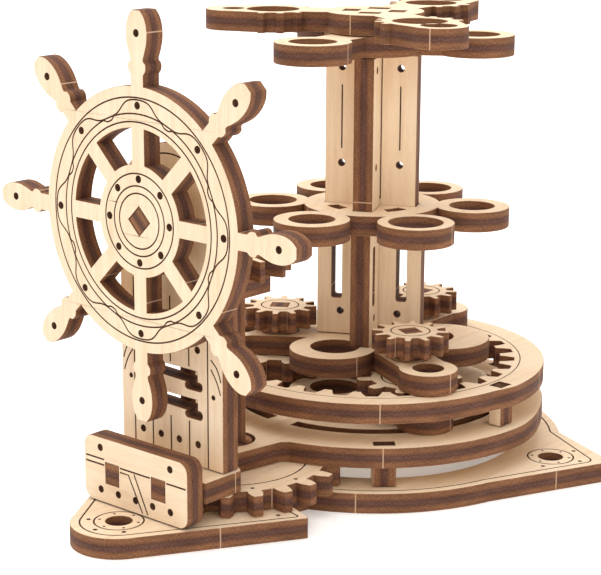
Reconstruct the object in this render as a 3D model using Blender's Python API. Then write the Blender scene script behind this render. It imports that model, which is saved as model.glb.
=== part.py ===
"""Plywood desk carousel: a ship's wheel turns a pen carousel through flat wooden gears."""
import math

import bmesh
import bpy
from mathutils import Matrix, Vector

MM = 0.001
PLY = 4.0                       # thickness of every board
GAP = 0.3                       # play between neighbouring pieces
SHIFT = Vector((20.7, 0.0, 0.0))  # the carousel's axis stands here, so the base is centred

# levels, from the table up
GEAR_Z = 4.15
DECK_Z = 8.3
LOW_CARRIER_Z = 12.5
LOW_CARRIER_PLY = 3.6
RING_Z = 16.4
CARRIER_Z = 20.7
PINION_Z = 26.2
COLUMN_Z = CARRIER_Z + PLY + 0.2
MID_TRAY_Z = 48.6
LOW_TRAY_Z = 83.5
TOP_TRAY_Z = LOW_TRAY_Z + PLY + GAP
WHEEL_Z = 59.2

# carousel
ARM_TURN = -116.0               # direction of the first long arm, degrees
RING_RADIUS = 20.5              # pen rings stand on this circle
BOARD_TURN = (ARM_TURN + 53.5, ARM_TURN - 36.5)
LOW_HALF = 10.9                 # half width of the column under the middle tray
HIGH_HALF = 9.4
TENON_AT = 4.7

# gears
RING_TEETH = 30
PLANET_TEETH = 10
RING_PITCH = 28.5
PLANET_PITCH = RING_PITCH * PLANET_TEETH / RING_TEETH
PLANET_AT = RING_PITCH - PLANET_PITCH
MAIN_TEETH = 24
DRIVE_TEETH = 22
DRIVE_X = -42.5
DRIVE_PITCH = -DRIVE_X * DRIVE_TEETH / (DRIVE_TEETH + MAIN_TEETH)
MAIN_PITCH = -DRIVE_X * MAIN_TEETH / (DRIVE_TEETH + MAIN_TEETH)
CROWN_TEETH = 12
CROWN_Z = 45.9
CROWN_TIP = 11.7
CROWN_ROOT = 6.9
DRIVE_ROD = 4.2                 # side of the square drive rod

# base, deck and tower
BASE_RADIUS = 40.0
BASE_HOLE = 31.0
NOSE = (-72.4, 0.0)
CORNER_HOLE = (10.4, -39.0)
DECK_FRONT = 37.6               # the deck is wider round its front than at its sides
DECK_SIDE = 36.2
RING_FRONT = 35.2
POST_TURN = -136.0              # direction of the first deck post
SPACER_TURN = -90.0
TOWER_X = -58.4
TOWER_HALF = 13.2
BRACKET_Z = 41.6
WHEEL_GEAR_X = -54.1
WHEEL_X = -66.0
SIGN_X = -68.2
SIGN_HALF = 13.6

# holes and rods
MAIN_ROD = 6.0                  # side of the square main rod
PLANET_ROD = 3.6                # side of the square planet rods
ROD_PLAY = 0.4                  # a square hole is this much wider than its rod
SCREW_HOLE = 2.5
PIN_HALF = 2.45                 # round stretch of a planet rod
DECK_BORE = 4.3
CORNER_REACH = (16.0, -50.0)    # tip of the base's corner
TRAY_RING = 7.6                 # outer radius of a pen ring
TRAY_ARM = 4.2
TRAY_HUB = 10.0

WOODS = {
    "plate": ((0.79, 0.63, 0.43), 0.62),
    "gear": ((0.74, 0.57, 0.37), 0.62),
    "board": ((0.77, 0.60, 0.40), 0.6),
    "rod": ((0.58, 0.40, 0.24), 0.6),
}


def polar(radius, degrees, centre=(0.0, 0.0)):
    angle = math.radians(degrees)
    return (centre[0] + radius * math.cos(angle), centre[1] + radius * math.sin(angle))


def arc(centre, radius, start, end, steps):
    return [polar(radius, start + (end - start) * i / steps, centre) for i in range(steps + 1)]


def eased(low, high, start, end, steps):
    """An arc about the axis whose radius changes smoothly from low to high."""
    points = []
    for index in range(steps + 1):
        share = index / steps
        radius = low + (high - low) * share * share * (3 - 2 * share)
        points.append(polar(radius, start + (end - start) * share))
    return points


def circle(radius, centre=(0.0, 0.0), steps=32):
    return [polar(radius, 360.0 * i / steps, centre) for i in range(steps)]


def turned(points, degrees, centre=(0.0, 0.0)):
    cos = math.cos(math.radians(degrees))
    sin = math.sin(math.radians(degrees))
    return [(centre[0] + x * cos - y * sin, centre[1] + x * sin + y * cos) for x, y in points]


def rectangle(low, high):
    return [low, (high[0], low[1]), high, (low[0], high[1])]


def square_hole(side, degrees=0.0, centre=(0.0, 0.0)):
    half = side / 2
    return turned(rectangle((-half, -half), (half, half)), degrees, centre)


def mirrored(points):
    """An outline from its lower half: the same points come back reversed with y changed."""
    return points + [(x, -y) for x, y in reversed(points) if abs(y) > 1e-6]


def rounded(points, radii, steps=5):
    """The outline with each corner of a given radius turned into an arc."""
    result = []
    count = len(points)
    for index, corner in enumerate(points):
        radius = radii[index] if isinstance(radii, (list, tuple)) else radii
        if radius <= 0:
            result.append(corner)
            continue
        here = Vector(corner)
        before = (Vector(points[index - 1]) - here).normalized()
        after = (Vector(points[(index + 1) % count]) - here).normalized()
        half = math.acos(max(-1.0, min(1.0, before.dot(after)))) / 2
        centre = here + (before + after).normalized() * radius / math.sin(half)
        start = here + before * radius / math.tan(half) - centre
        end = here + after * radius / math.tan(half) - centre
        sweep = start.angle_signed(end)
        for step in range(steps + 1):
            spoke = Matrix.Rotation(-sweep * step / steps, 2) @ start
            result.append(tuple(centre + spoke))
    return result


def gear_outline(teeth, pitch, tip, root, fill, turn=0.0):
    """Involute teeth; fill is a tooth's share of half the pitch, turn points one tooth."""
    base = pitch * math.cos(math.radians(20))

    def involute(radius):
        pressure = math.acos(min(1.0, base / radius))
        return math.tan(pressure) - pressure

    def half_angle(radius):
        return math.pi / (2 * teeth) * fill + involute(pitch) - involute(radius)

    points = []
    for tooth in range(teeth):
        middle = math.radians(turn) + 2 * math.pi * tooth / teeth
        radii = (root, pitch, tip)
        flank = [(radius, half_angle(radius)) for radius in radii]
        for radius, angle in flank:
            points.append((radius * math.cos(middle - angle), radius * math.sin(middle - angle)))
        for radius, angle in reversed(flank):
            points.append((radius * math.cos(middle + angle), radius * math.sin(middle + angle)))
    return points


def wedge_outline(teeth, tip, root, shares, turn=0.0):
    """Straight tapering teeth; shares are a tooth's half width at root and tip, as parts of the pitch."""
    step = 360.0 / teeth
    foot = shares[0] * step
    top = shares[1] * step
    points = []
    for tooth in range(teeth):
        middle = turn + tooth * step
        points.append(polar(root, middle - foot))
        points.append(polar(tip, middle - top))
        points.append(polar(tip, middle + top))
        points.append(polar(root, middle + foot))
    return points


def lying(z):
    """A board that lies flat with its underside at this height."""
    return Matrix.Translation((0, 0, z + PLY / 2))


def facing(x):
    """A board across the tower's axis with its front at x: u runs to -Y and v runs up."""
    turn = Matrix(((0, 0, -1), (-1, 0, 0), (0, 1, 0))).to_4x4()
    return Matrix.Translation((x + PLY / 2, 0, 0)) @ turn


def upright(degrees, offset=0.0):
    """A board that stands along this direction: u runs along it and v runs up."""
    along = Vector(polar(1.0, degrees) + (0.0,))
    across = Vector((along.y, -along.x, 0.0))
    turn = Matrix((along, (0, 0, 1), across)).transposed().to_4x4()
    return Matrix.Translation(across * -offset) @ turn


def wood(name, kind):
    colour, roughness = WOODS[kind]
    material = bpy.data.materials.new(name)
    material.use_nodes = True
    shader = material.node_tree.nodes["Principled BSDF"]
    shader.inputs["Base Color"].default_value = (*colour, 1.0)
    shader.inputs["Roughness"].default_value = roughness
    shader.inputs["Metallic"].default_value = 0.0
    return material


def finish(mesh, name, kind, pivot):
    """The piece as an object whose origin is on its own axis."""
    pivot = Vector(pivot) + SHIFT
    mesh.transform(Matrix.Translation(SHIFT - pivot))
    mesh.transform(Matrix.Scale(MM, 4))
    piece = bpy.data.objects.new(name, mesh)
    piece.location = pivot * MM
    mesh.materials.clear()
    mesh.materials.append(wood(name, kind))
    PARTS.objects.link(piece)
    return piece


def board(name, outline, holes, place, kind="plate", pivot=(0, 0, 0), thickness=PLY):
    """A flat outline with holes, cut from one sheet and set in its place."""
    curve = bpy.data.curves.new(name, "CURVE")
    curve.dimensions = "2D"
    curve.fill_mode = "BOTH"
    curve.extrude = thickness / 2
    curve.render_resolution_u = 0
    for loop in [outline, *holes]:
        spline = curve.splines.new("POLY")
        spline.points.add(len(loop) - 1)
        for point, (x, y) in zip(spline.points, loop):
            point.co = (x, y, 0, 1)
        spline.use_cyclic_u = True
    flat = bpy.data.objects.new(name + "_flat", curve)
    PARTS.objects.link(flat)
    ready = flat.evaluated_get(bpy.context.evaluated_depsgraph_get())
    mesh = bpy.data.meshes.new_from_object(ready)
    bpy.data.objects.remove(flat)
    mesh.name = name
    mesh.transform(place)
    weld(mesh)
    return finish(mesh, name, kind, pivot)


def weld(mesh):
    shape = bmesh.new()
    shape.from_mesh(mesh)
    bmesh.ops.remove_doubles(shape, verts=shape.verts, dist=0.001)
    bmesh.ops.recalc_face_normals(shape, faces=shape.faces)
    shape.to_mesh(mesh)
    shape.free()


def section(kind, size, corners=16):
    """One cross-section of a rod, square or round, with the same count of corners."""
    if kind == "round":
        return turned(circle(size, steps=corners), 45)
    side = corners // 4
    points = []
    for quarter in range(4):
        start = Vector(polar(size * math.sqrt(2), 45 + 90 * quarter))
        end = Vector(polar(size * math.sqrt(2), 135 + 90 * quarter))
        points += [tuple(start.lerp(end, i / side)) for i in range(side)]
    return points


def rod(name, steps, place, pivot=(0, 0, 0)):
    """A stepped rod: steps are (kind, half size, start, end) along its length."""
    shape = bmesh.new()
    loops = []
    for kind, size, start, end in steps:
        for height in (start, end):
            ring = [shape.verts.new((x, y, height)) for x, y in section(kind, size)]
            loops.append(ring)
    for low, high in zip(loops, loops[1:]):
        count = len(low)
        for i in range(count):
            shape.faces.new((low[i], low[(i + 1) % count], high[(i + 1) % count], high[i]))
    shape.faces.new(list(reversed(loops[0])))
    shape.faces.new(loops[-1])
    mesh = bpy.data.meshes.new(name)
    shape.to_mesh(mesh)
    shape.free()
    mesh.transform(place)
    weld(mesh)
    return finish(mesh, name, "rod", pivot)


def spacer(name, low, high, turn):
    """A plain block between two corners, turned about the axis."""
    shape = bmesh.new()
    bmesh.ops.create_cube(shape, size=1.0)
    size = Vector(high) - Vector(low)
    bmesh.ops.scale(shape, verts=shape.verts, vec=size)
    bmesh.ops.translate(shape, verts=shape.verts, vec=(Vector(low) + Vector(high)) / 2)
    mesh = bpy.data.meshes.new(name)
    shape.to_mesh(mesh)
    shape.free()
    mesh.transform(Matrix.Rotation(math.radians(turn), 4, "Z"))
    finish(mesh, name, "board", (0, 0, 0))


def base_plate():
    """A ring with a long nose under the tower and two corners, each with a hole."""
    half = arc(NOSE, 9.0, 180, 239, 5)
    half += [(-48.0, -25.1), (-45.4, -18.0), (-41.0, -14.6)]
    half += arc((0, 0), BASE_RADIUS, 202.5, 255, 10)
    corner = [polar(BASE_RADIUS, 255), CORNER_REACH, polar(BASE_RADIUS, 308)]
    half += rounded(corner, [0, 2.0, 0], 4)[1:]
    half += arc((0, 0), BASE_RADIUS, 312, 360, 9)
    holes = [circle(BASE_HOLE, steps=48), circle(SCREW_HOLE, NOSE, 16)]
    holes += [circle(SCREW_HOLE, (CORNER_HOLE[0], side * CORNER_HOLE[1]), 16) for side in (1, -1)]
    board("base_plate", mirrored(half), holes, lying(0))


def lower_deck():
    """The deck over the gears, with a neck and a ledge that carry the tower."""
    ledge_x = SIGN_X + PLY + GAP
    ledge_back = TOWER_X + PLY
    half = [(ledge_x, 0.0), (ledge_x, -4.4), (SIGN_X, -4.4), (SIGN_X, -7.8), (ledge_x, -7.8)]
    half += rounded([(ledge_x, -14.0), (ledge_back, -14.0), (-50.0, -6.6)], [0, 1.0, 0], 4)
    half += [(-37.5, -8.6)]
    half += arc((0, 0), DECK_FRONT, 195, 269, 12)
    half += eased(DECK_FRONT, DECK_SIDE, 272, 299, 6)
    half += arc((0, 0), DECK_SIDE, 304, 360, 10)
    holes = [circle(DECK_BORE, steps=20), circle(4.8, (DRIVE_X, 0), 20)]
    for index in range(6):
        start = -174 + 60 * index
        slot = arc((0, 0), 28.6, start, start + 48, 7) + arc((0, 0), 26.0, start + 48, start, 7)
        holes.append(slot)
    board("lower_deck", mirrored(half)[1:], holes, lying(DECK_Z))


def deck_posts():
    low = (32.6, -2.3, PLY + 0.2)
    high = (36.4, 2.3, DECK_Z - 0.2)
    for index in range(3):
        spacer(f"deck_post_{index + 1}", low, high, POST_TURN + 120 * index)


def ring_spacers():
    low = (32.3, -2.0, DECK_Z + PLY + 0.2)
    high = (35.1, 2.0, RING_Z - 0.2)
    for index in range(3):
        spacer(f"ring_spacer_{index + 1}", low, high, SPACER_TURN + 120 * index)


def ring_gear():
    """The fixed ring that the three planets roll in."""
    half = arc((0, 0), RING_FRONT, 180, 261, 16)
    half += eased(RING_FRONT, DECK_SIDE, 262, 273, 4)
    half += arc((0, 0), DECK_SIDE, 276, 360, 15)
    inside = gear_outline(RING_TEETH, RING_PITCH, 30.1, 27.2, 1.16, ARM_TURN)
    board("ring_gear", mirrored(half), [inside], lying(RING_Z), "gear")


def planets():
    """Three planets, each on a rod that also carries a small gear above the carrier."""
    for index in range(3):
        turn = ARM_TURN + 120 * index
        centre = polar(PLANET_AT, turn)
        place = Matrix.Translation((*centre, 0))
        square = square_hole(PLANET_ROD + ROD_PLAY, turn)
        planet = gear_outline(PLANET_TEETH, PLANET_PITCH, 10.6, 7.9, 0.84, turn)
        board(f"planet_{index + 1}", planet, [square], place @ lying(RING_Z), "gear", (*centre, 0))
        small = wedge_outline(12, 7.7, 5.6, (0.27, 0.13), turn)
        board(f"small_gear_{index + 1}", small, [square], place @ lying(PINION_Z), "gear", (*centre, 0))
        steps = [
            ("round", PIN_HALF, LOW_CARRIER_Z, RING_Z - 0.15),
            ("square", PLANET_ROD / 2, RING_Z - 0.15, CARRIER_Z - 0.15),
            ("round", PIN_HALF, CARRIER_Z - 0.15, COLUMN_Z),
            ("square", 3.2, COLUMN_Z, PINION_Z - 0.2),
            ("square", PLANET_ROD / 2, PINION_Z - 0.2, PINION_Z + PLY),
        ]
        spin = Matrix.Rotation(math.radians(turn), 4, "Z")
        rod(f"planet_rod_{index + 1}", steps, place @ spin, (*centre, 0))


def carrier_shape(loop_at, loop, loop_hole):
    """Three arms with a loop at the end and three hooks between them: the outline and the holes."""
    arm_half = 5.0
    lobes = ((15.0, 9.8), (13.2, 8.8), (13.2, 8.8))   # centre and radius of each hook's outside
    joins = []
    for lobe_at, lobe in lobes:
        side = lobe_at * math.sin(math.radians(60)) - arm_half
        joins.append(lobe_at * math.cos(math.radians(60)) + math.sqrt(lobe ** 2 - side ** 2))
    swing = math.degrees(math.asin(arm_half / loop))
    outline = []
    holes = [square_hole(MAIN_ROD + ROD_PLAY, ARM_TURN)]
    for index in range(3):
        turn = ARM_TURN + 120 * index
        lobe_at, lobe = lobes[index]
        arm = [(joins[index - 1], -arm_half)]
        arm += arc((loop_at, 0), loop, swing - 180, 180 - swing, 12) + [(joins[index], arm_half)]
        outline += turned(arm, turn)
        centre = Vector(polar(lobe_at, turn + 60))
        start = Vector(turned([(joins[index], arm_half)], turn)[0]) - centre
        end = Vector(turned([(joins[index], -arm_half)], turn + 120)[0]) - centre
        first = math.degrees(math.atan2(start.y, start.x))
        sweep = (math.degrees(math.atan2(end.y, end.x)) - first) % 360
        outline += arc(centre, lobe, first, first + sweep, 12)[1:-1]
        holes.append(circle(loop_hole, polar(loop_at, turn), 14))
        holes.append(circle(PIN_HALF + GAP, polar(PLANET_AT, turn), 14))
        holes.append(circle(5.0, polar(12.4, turn + 60), 18))
    return outline, holes


def carriers():
    """The carrier over the planets and a thinner one under them, both on the main rod."""
    outline, holes = carrier_shape(27.2, 5.8, 3.1)
    board("carrier", outline, holes, lying(CARRIER_Z))
    outline, holes = carrier_shape(26.4, 5.6, 3.0)
    middle = Matrix.Translation((0, 0, LOW_CARRIER_Z + LOW_CARRIER_PLY / 2))
    board("low_carrier", outline, holes, middle, thickness=LOW_CARRIER_PLY)


def column():
    """Two boards that cross, each slotted half way; tenons at the top hold the trays."""
    slot = PLY / 2 + 0.2
    middle = 54.0
    top = TOP_TRAY_Z + PLY - 0.2
    shoulder = MID_TRAY_Z - GAP
    low_tray = LOW_TRAY_Z - GAP
    tenon_in = TENON_AT - 1.5
    tenon_out = TENON_AT + 1.5
    for index, letter in enumerate("ab"):
        right = [(LOW_HALF, COLUMN_Z), (LOW_HALF, shoulder), (HIGH_HALF, shoulder), (HIGH_HALF, low_tray)]
        right += [(tenon_out, low_tray), (tenon_out, top), (tenon_in, top), (tenon_in, low_tray)]
        if index == 0:
            right += [(slot, low_tray), (slot, middle)]
        else:
            right = [(slot, middle + GAP), (slot, COLUMN_Z)] + right
        left = [(-x, y) for x, y in reversed(right)]
        holes = []
        for side in (1, -1):
            holes.append(rounded(rectangle((side * 6.8 - 1.1, 32.5), (side * 6.8 + 1.1, 44.8)), 0.5, 2))
            for height in (29.8, 61.0, 80.6):
                holes.append(circle(0.7, (side * 6.0, height), 8))
        board(f"column_{letter}", right + left, holes, upright(BOARD_TURN[index]), "board")


def cross_hole(half):
    """The opening that lets both column boards pass."""
    slim = PLY / 2 + 0.25
    long = half + 0.25
    corner = [(long, -slim), (long, slim), (slim, slim)]
    points = []
    for index in range(4):
        points += turned(corner, BOARD_TURN[0] + 90 * index)
    return points


def tenon_holes():
    size = (1.8, PLY / 2 + 0.25)
    low = (TENON_AT - size[0], -size[1])
    high = (TENON_AT + size[0], size[1])
    return [turned(rectangle(low, high), BOARD_TURN[0] + 90 * index) for index in range(4)]


def mid_tray():
    """Six rings round a hub, one for each pen."""
    hub = 14.0
    reach = (hub ** 2 + RING_RADIUS ** 2 - TRAY_RING ** 2) / (2 * hub * RING_RADIUS)
    spread = math.degrees(math.acos(reach))
    holes = [cross_hole(HIGH_HALF)]
    bores = (5.4, 4.6, 5.1, 4.6, 4.9, 4.6)
    outline = []
    for index in range(6):
        turn = ARM_TURN + 60 * index
        centre = polar(RING_RADIUS, turn)
        start = Vector(polar(hub, turn - spread)) - Vector(centre)
        swing = math.degrees(math.atan2(start.y, start.x)) - turn
        swing = abs((swing + 180) % 360 - 180)
        outline += arc(centre, TRAY_RING, turn - swing, turn + swing, 16)
        outline += arc((0, 0), hub, turn + spread, turn + 60 - spread, 4)[1:-1]
        holes.append(circle(bores[index], centre, 22))
    for index in range(4):
        turn = BOARD_TURN[0] + 45 + 90 * index
        holes.append(arc((0, 0), 9.6, turn - 14, turn + 14, 4) + arc((0, 0), 7.2, turn + 14, turn - 14, 3))
    board("mid_tray", outline, holes, lying(MID_TRAY_Z))


def low_tray():
    """Three rings on short arms, under the top tray."""
    swing = math.degrees(math.asin(TRAY_ARM / TRAY_RING))
    spread = math.degrees(math.asin(TRAY_ARM / TRAY_HUB))
    outline = []
    holes = tenon_holes()
    for index in range(3):
        turn = ARM_TURN + 60 + 120 * index
        centre = polar(RING_RADIUS, turn)
        outline += arc(centre, TRAY_RING, turn - 180 + swing, turn + 180 - swing, 20)
        outline += arc((0, 0), TRAY_HUB, turn + spread, turn + 120 - spread, 6)
        holes.append(circle(4.7, centre, 22))
    board("low_tray", outline, holes, lying(LOW_TRAY_Z))


def top_tray():
    """Three arms, each with a wide hole, a narrow hole at its end and toothed sides."""
    ring = 7.4
    end = 5.6
    end_at = 28.6
    arm = 4.4
    spread = math.degrees(math.asin(arm / TRAY_HUB))
    small = (3.5, 2.2, 2.2)
    outline = []
    holes = tenon_holes()
    for index in range(3):
        turn = ARM_TURN + 120 * index
        start = 180 - math.degrees(math.asin(arm / ring))
        side = [polar(ring, start, (RING_RADIUS, 0))]
        for knob in (135, 108, 81):
            for radius, shift in ((ring, 7), (ring + 1.3, 4), (ring + 1.3, -4), (ring, -7)):
                side.append(polar(radius, knob + shift, (RING_RADIUS, 0)))
        side += arc((end_at, 0), end, 88, 0, 7)
        arm_shape = [(x, -y) for x, y in side] + list(reversed(side[:-1]))
        outline += turned(arm_shape, turn)
        outline += arc((0, 0), TRAY_HUB, turn + spread, turn + 120 - spread, 6)
        holes.append(circle(5.3, polar(RING_RADIUS, turn), 22))
        holes.append(circle(small[index], polar(end_at, turn), 14))
    board("top_tray", outline, holes, lying(TOP_TRAY_Z))


def carousel_drive():
    """The main gear under the deck and the rod that turns the carrier with it."""
    outline = gear_outline(MAIN_TEETH, MAIN_PITCH, MAIN_PITCH + 1.4, MAIN_PITCH - 1.8, 0.86, 180)
    hole = square_hole(MAIN_ROD + ROD_PLAY, ARM_TURN)
    board("main_gear", outline, [hole], lying(GEAR_Z), "gear")
    steps = [
        ("square", MAIN_ROD / 2, GEAR_Z, GEAR_Z + PLY + 0.2),
        ("round", DECK_BORE - GAP, GEAR_Z + PLY + 0.2, LOW_CARRIER_Z - 0.1),
        ("square", MAIN_ROD / 2, LOW_CARRIER_Z - 0.1, LOW_CARRIER_Z + LOW_CARRIER_PLY + 0.2),
        ("round", 6.0, LOW_CARRIER_Z + LOW_CARRIER_PLY + 0.2, CARRIER_Z - 0.2),
        ("square", MAIN_ROD / 2, CARRIER_Z - 0.2, CARRIER_Z + PLY),
    ]
    rod("main_rod", steps, Matrix.Rotation(math.radians(ARM_TURN), 4, "Z"))


def drive():
    """The drive gear, its upright rod and the crown gear at the rod's top."""
    centre = (DRIVE_X, 0.0, 0.0)
    place = Matrix.Translation(centre)
    half_tooth = 180.0 / DRIVE_TEETH
    outline = gear_outline(DRIVE_TEETH, DRIVE_PITCH, DRIVE_PITCH + 1.1, DRIVE_PITCH - 1.9, 0.86, half_tooth)
    hole = square_hole(DRIVE_ROD + ROD_PLAY)
    board("drive_gear", outline, [hole], place @ lying(GEAR_Z), "gear", centre)
    half_step = 180.0 / CROWN_TEETH
    crown = wedge_outline(CROWN_TEETH, CROWN_TIP, CROWN_ROOT, (0.2, 0.1), 180 + half_step)
    board("crown_gear", crown, [hole], place @ lying(CROWN_Z), "gear", centre)
    half = DRIVE_ROD / 2
    steps = [
        ("square", half, GEAR_Z, GEAR_Z + PLY + 0.2),
        ("round", 2 * half, GEAR_Z + PLY + 0.2, DECK_Z + PLY - 0.2),
        ("square", half, DECK_Z + PLY - 0.2, CROWN_Z + PLY),
    ]
    rod("drive_rod", steps, place, centre)


def wheel_group():
    """The ship's wheel, its square rod and the gear that turns the crown gear."""
    axis = (WHEEL_X, 0.0, WHEEL_Z)
    lift = Matrix.Translation((0, 0, WHEEL_Z))
    outline = []
    grip = [(26.3, 1.6), (27.1, 2.2), (28.2, 2.2), (28.9, 1.6), (30.4, 2.1), (32.3, 2.6), (34.5, 2.6)]
    grip += [(36.4, 2.0), (37.6, 1.0)]
    rim = 24.3
    root = math.degrees(math.asin(1.6 / rim))
    for index in range(8):
        turn = 90 + 45 * index
        outline += arc((0, 0), rim, turn - 45 + root, turn - root, 5)
        outline += turned([(x, -y) for x, y in grip] + list(reversed(grip)), turn)
    holes = [square_hole(4.0, 45)]
    for index in range(8):
        turn = 45 * index
        near = math.degrees(math.asin(1.6 / 10.3))
        far = math.degrees(math.asin(1.6 / 16.8))
        opening = arc((0, 0), 16.8, turn + far, turn + 45 - far, 4)
        opening += arc((0, 0), 10.3, turn + 45 - near, turn + near, 3)
        holes.append(opening)
        holes.append(circle(0.6, polar(33.6, turn), 8))
    board("wheel", outline, holes, lift @ facing(WHEEL_X), "board", axis)
    crown = wedge_outline(CROWN_TEETH, 10.8, 8.9, (0.16, 0.08), 270)
    board("wheel_gear", crown, [square_hole(4.0, 45)], lift @ facing(WHEEL_GEAR_X), "gear", axis)
    along = Matrix.Rotation(math.radians(90), 4, "Y") @ Matrix.Rotation(math.radians(45), 4, "Z")
    steps = [("square", 1.8, WHEEL_X, -47.5)]
    rod("wheel_rod", steps, lift @ along, axis)


def window(low, reach):
    """A stepped opening: a long rounded slot with a narrower one on top."""
    height = 1.7
    step = low + height
    high = step + 2.1
    slot = rounded([(-8.0, low), (8.0, low), (8.0, step), (reach, step)], [0.7, 0.7, 0.7, 0], 2)
    return slot + [(reach, high), (-reach, high), (-reach, step), (-8.0, step)]


def tower():
    """The arched front board, the bearing bracket and the rib behind it."""
    foot = DECK_Z + PLY + 0.2
    outline = [(-TOWER_HALF, foot), (TOWER_HALF, foot)] + arc((0, WHEEL_Z), TOWER_HALF, 0, 180, 20)
    holes = [circle(2.9, (0, WHEEL_Z), 16), window(27.0, 6.8), window(21.5, 6.8)]
    board("tower_front", outline, holes, facing(TOWER_X), "board")
    behind = TOWER_X + PLY + GAP
    shelf = rounded(rectangle((behind, -5.4), (-36.3, 5.4)), 1.0, 2)
    hole = circle(DRIVE_ROD / 2 + 1.2, (DRIVE_X, 0), 16)
    board("tower_bracket", shelf, [hole], lying(BRACKET_Z), "board")
    rib = rectangle((behind, foot), (-45.9, BRACKET_Z - GAP))
    board("tower_rib", rib, [], upright(0), "board")


def sign():
    """A plain name plate held by the ledge's two tenons."""
    low = 4.3
    plate = rounded(rectangle((-SIGN_HALF, low), (SIGN_HALF, 17.0)), 2.2, 4)
    holes = []
    for side in (1, -1):
        edges = (side * 6.1 - 1.95, side * 6.1 + 1.95)
        holes.append(rectangle((edges[0], DECK_Z - 0.25), (edges[1], DECK_Z + PLY + 0.25)))
    board("sign_plate", plate, holes, facing(SIGN_X), "board")


for old in list(bpy.data.objects):
    bpy.data.objects.remove(old)
PARTS = bpy.data.collections.new("desk_carousel")
bpy.context.scene.collection.children.link(PARTS)

base_plate()
lower_deck()
deck_posts()
ring_spacers()
ring_gear()
planets()
carriers()
column()
mid_tray()
low_tray()
top_tray()
carousel_drive()
drive()
wheel_group()
tower()
sign()
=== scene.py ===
"""The plywood carousel's looks: boards cut with fine curves, toasted edges and scored lines."""
import math

import bmesh
import bpy
from mathutils import Euler, Matrix, Vector, kdtree


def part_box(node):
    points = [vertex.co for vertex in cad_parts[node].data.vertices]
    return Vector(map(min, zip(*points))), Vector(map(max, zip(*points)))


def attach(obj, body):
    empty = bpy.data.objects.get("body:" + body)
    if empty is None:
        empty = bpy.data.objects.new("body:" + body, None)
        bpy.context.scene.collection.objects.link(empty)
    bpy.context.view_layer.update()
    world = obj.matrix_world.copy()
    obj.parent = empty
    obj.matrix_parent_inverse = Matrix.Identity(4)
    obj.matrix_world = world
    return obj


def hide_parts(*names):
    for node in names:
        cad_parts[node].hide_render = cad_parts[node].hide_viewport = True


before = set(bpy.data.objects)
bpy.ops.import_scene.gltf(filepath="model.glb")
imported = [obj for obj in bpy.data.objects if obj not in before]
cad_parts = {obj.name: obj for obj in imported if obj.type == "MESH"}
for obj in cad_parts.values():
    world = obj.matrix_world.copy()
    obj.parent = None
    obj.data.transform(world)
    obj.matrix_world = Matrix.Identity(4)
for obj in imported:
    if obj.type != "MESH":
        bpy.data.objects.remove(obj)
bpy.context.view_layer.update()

MM = 0.001
PLY = 4.0
GAP = 0.3
CHAMFER = 0.07
ROD_CHAMFER = 0.08
SCORE = 0.34                    # width of a scored line
SCORE_DEPTH = 0.16
DOT = 0.72

# levels, from the table up
GEAR_Z = 4.15
DECK_Z = 8.3
LOW_CARRIER_Z = 12.5
LOW_CARRIER_PLY = 3.6
RING_Z = 16.4
CARRIER_Z = 20.7
PINION_Z = 26.2
COLUMN_Z = CARRIER_Z + PLY + 0.2
MID_TRAY_Z = 48.6
LOW_TRAY_Z = 83.5
TOP_TRAY_Z = LOW_TRAY_Z + PLY + GAP
WHEEL_Z = 59.2

ARM_TURN = -116.0
RING_RADIUS = 20.5
BOARD_TURN = (ARM_TURN + 53.5, ARM_TURN - 36.5)
LOW_HALF = 10.9
HIGH_HALF = 9.4
TENON_AT = 4.7

RING_TEETH = 30
PLANET_TEETH = 10
RING_PITCH = 28.5
PLANET_PITCH = RING_PITCH * PLANET_TEETH / RING_TEETH
PLANET_AT = RING_PITCH - PLANET_PITCH
MAIN_TEETH = 24
DRIVE_TEETH = 22
DRIVE_X = -42.5
DRIVE_PITCH = -DRIVE_X * DRIVE_TEETH / (DRIVE_TEETH + MAIN_TEETH)
MAIN_PITCH = -DRIVE_X * MAIN_TEETH / (DRIVE_TEETH + MAIN_TEETH)
CROWN_TEETH = 12
CROWN_Z = 45.9
CROWN_TIP = 11.7
CROWN_ROOT = 6.9
DRIVE_ROD = 4.2                 # side of the square drive rod

BASE_RADIUS = 40.0
BASE_HOLE = 31.0
NOSE = (-72.4, 0.0)
CORNER_HOLE = (10.4, -39.0)
DECK_FRONT = 37.6               # the deck is wider round its front than at its sides
DECK_SIDE = 36.2
RING_FRONT = 35.2
POST_TURN = -136.0              # direction of the first deck post
SPACER_TURN = -90.0
TOWER_X = -58.4
TOWER_HALF = 13.2
BRACKET_Z = 41.6
WHEEL_GEAR_X = -54.1
WHEEL_X = -66.0
SIGN_X = -68.2
SIGN_HALF = 13.6

# holes and rods
MAIN_ROD = 6.0                  # side of the square main rod
PLANET_ROD = 3.6                # side of the square planet rods
SCREW_HOLE = 2.5
PIN_HALF = 2.45                 # round stretch of a planet rod
DECK_BORE = 4.3
CORNER_REACH = (16.0, -50.0)    # tip of the base's corner
TRAY_RING = 7.6                 # outer radius of a pen ring
TRAY_ARM = 4.2
TRAY_HUB = 10.0

# the carousel's axis, measured on the CAD node that is centred on it
LOW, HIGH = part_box("main_gear")
AXIS = Vector(((LOW.x + HIGH.x) / 2, 0.0, 0.0)) / MM


# outlines

def polar(radius, degrees, centre=(0.0, 0.0)):
    angle = math.radians(degrees)
    return (centre[0] + radius * math.cos(angle), centre[1] + radius * math.sin(angle))


def arc(centre, radius, start, end, steps):
    return [polar(radius, start + (end - start) * i / steps, centre) for i in range(steps + 1)]


def eased(low, high, start, end, steps):
    """An arc about the axis whose radius changes smoothly from low to high."""
    points = []
    for index in range(steps + 1):
        share = index / steps
        radius = low + (high - low) * share * share * (3 - 2 * share)
        points.append(polar(radius, start + (end - start) * share))
    return points


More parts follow.
